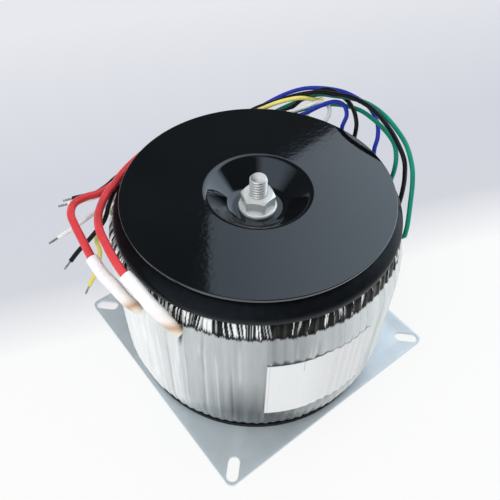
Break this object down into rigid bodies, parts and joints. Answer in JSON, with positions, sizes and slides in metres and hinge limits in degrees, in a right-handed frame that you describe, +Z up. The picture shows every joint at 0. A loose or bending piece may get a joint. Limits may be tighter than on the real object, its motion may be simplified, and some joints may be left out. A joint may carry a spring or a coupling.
{
  "type": "toroidal transformer",
  "caption": "Toroidal power transformer in pleated clear film, clamped between rubber pads by a dished black disc and a centre bolt on a square slotted plate, with coloured leads.",
  "frame": {"origin": "centre of the mounting plate's underside, below the centre bolt", "axes": "+Z up along the bolt; X and Y run along the square plate's diagonals, through its slots; the front corner points to -Y"},
  "size_m": [0.2332, 0.2286, 0.1421],
  "materials": {
    "zinc_plate": "zinc coated, satin",
    "pad_rubber": "smooth, satin",
    "core_steel": "wound strip",
    "fibre_board": "pressed fibre board",
    "polyester_tape": "tape",
    "enamelled_copper": "enamelled wire",
    "clear_film": "clear film in many layers, gloss",
    "label_white": "blank paper label under film",
    "black_enamel": "high gloss",
    "bright_zinc": "bright zinc",
    "tinned_copper": "tinned strands",
    "sleeve_white": "woven sleeve, varnished",
    "red_insulation": "soft PVC",
    "blue_insulation": "soft PVC",
    "black_insulation": "soft PVC",
    "green_insulation": "soft PVC",
    "white_insulation": "soft PVC",
    "yellow_insulation": "soft PVC"
  },
  "bodies": {
    "root": {"base_plate": "zinc_plate", "bottom_pad": "pad_rubber", "core": "core_steel", "core_ring_lower": "fibre_board", "core_ring_upper": "fibre_board", "core_tape": "polyester_tape", "primary_winding": "enamelled_copper", "interwinding_tape": "polyester_tape", "secondary_winding": "enamelled_copper", "outer_wrap": "clear_film", "rating_label": "label_white", "top_pad": "pad_rubber", "pressure_disc": "black_enamel", "centre_bolt": "bright_zinc", "flat_washer": "bright_zinc", "hex_nut": "bright_zinc", "red_lead_1": "red_insulation", "red_lead_1_sleeve": "sleeve_white", "red_lead_1_tip": "tinned_copper", "red_lead_2": "red_insulation", "red_lead_2_sleeve": "sleeve_white", "red_lead_2_tip": "tinned_copper", "blue_lead_1": "blue_insulation", "blue_lead_1_tip": "tinned_copper", "blue_lead_2": "blue_insulation", "blue_lead_2_tip": "tinned_copper", "black_lead_1": "black_insulation", "black_lead_1_tip": "tinned_copper", "black_lead_2": "black_insulation", "black_lead_2_tip": "tinned_copper", "green_lead_1": "green_insulation", "green_lead_1_tip": "tinned_copper", "green_lead_2": "green_insulation", "green_lead_2_tip": "tinned_copper", "white_lead_1": "white_insulation", "white_lead_1_tip": "tinned_copper", "white_lead_2": "white_insulation", "white_lead_2_tip": "tinned_copper", "yellow_lead": "yellow_insulation", "yellow_lead_tip": "tinned_copper"}
  },
  "joints": []
}
